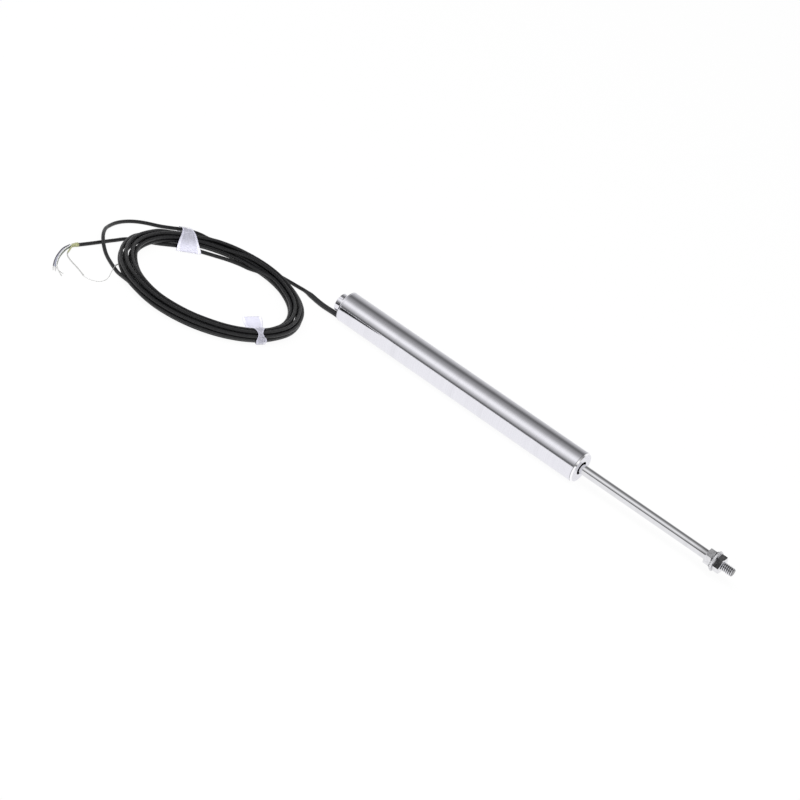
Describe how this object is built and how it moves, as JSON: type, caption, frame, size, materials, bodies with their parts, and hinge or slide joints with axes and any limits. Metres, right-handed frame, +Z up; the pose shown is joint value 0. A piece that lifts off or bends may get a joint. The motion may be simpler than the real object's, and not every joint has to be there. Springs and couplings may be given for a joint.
{
  "type": "lvdt displacement sensor",
  "caption": "LVDT displacement sensor with a bright steel cylinder body, a free push rod with a threaded tip and a coiled black signal cable",
  "frame": {"origin": "on the body's axis, at the front end of the steel tube where the front cap's flange meets it", "axes": "+X along the body's axis, out through the front cap and along the push rod; +Z up from the floor that the sensor lies on; +Y completes a right-handed frame, away from the coiled cable's side"},
  "size_m": [0.4435, 0.1698, 0.0206],
  "materials": {
    "body_steel": "fine turning marks round the axis, satin to bright",
    "rod_steel": "ground and polished",
    "nut_steel": "plain stainless",
    "spring_steel": "stamped, plain",
    "seal_rubber": "matt black",
    "bush_bronze": "sintered bronze",
    "former_plastic": "moulded, natural",
    "guide_plastic": "turned, white",
    "winding_copper": "enamelled copper wire",
    "tape_yellow": "polyester tape",
    "shield_alloy": "annealed",
    "core_alloy": "annealed nickel iron",
    "board_green": "solder mask",
    "chip_black": "moulded",
    "cable_black": "smooth black jacket, soft sheen",
    "tie_film": "thin clear film, milky",
    "sleeve_yellow": "pale yellow-green",
    "wire_violet": "dark insulation",
    "wire_blue": "blue insulation",
    "wire_white": "white insulation",
    "wire_green": "pale green insulation",
    "tinned_wire": "tinned copper strands"
  },
  "bodies": {
    "housing": {"body_tube": "body_steel", "front_cap": "body_steel", "front_seal": "seal_rubber", "wiper_seal": "seal_rubber", "front_bush": "bush_bronze", "bush_ring": "spring_steel", "coil_former": "former_plastic", "primary_winding": "winding_copper", "secondary_front": "winding_copper", "secondary_rear": "winding_copper", "winding_tape": "tape_yellow", "magnetic_shield": "shield_alloy", "spacer": "guide_plastic", "circuit_board": "board_green", "board_chips": "chip_black", "rear_cap": "body_steel", "rear_plug": "body_steel", "cable_crimp": "nut_steel", "cable_sleeve": "cable_black", "cable_lead": "cable_black", "cable_coil": "cable_black", "cable_loop": "cable_black", "cable_tail": "cable_black", "tie_upper": "tie_film", "tie_lower": "tie_film", "end_sleeve": "sleeve_yellow", "wire_violet": "wire_violet", "wire_blue": "wire_blue", "wire_white": "wire_white", "wire_green": "wire_green", "screen_end": "tinned_wire", "screen_strand": "tinned_wire"},
    "guide": {"core_guide": "guide_plastic"},
    "plunger": {"push_rod": "rod_steel", "core": "core_alloy", "core_nut": "nut_steel", "jam_nut": "nut_steel", "lock_washer": "spring_steel", "flat_washer": "nut_steel", "end_nut": "nut_steel"}
  },
  "joints": [
    {"name": "rod_slide", "type": "slide", "parent": "housing", "child": "guide", "axis": [1, 0, 0], "range_m": [-0.053, 0.003]},
    {"name": "rod_turn", "type": "hinge", "parent": "guide", "child": "plunger", "pos_m": [0, 0, 0], "axis": [1, 0, 0], "continuous": true}
  ]
}
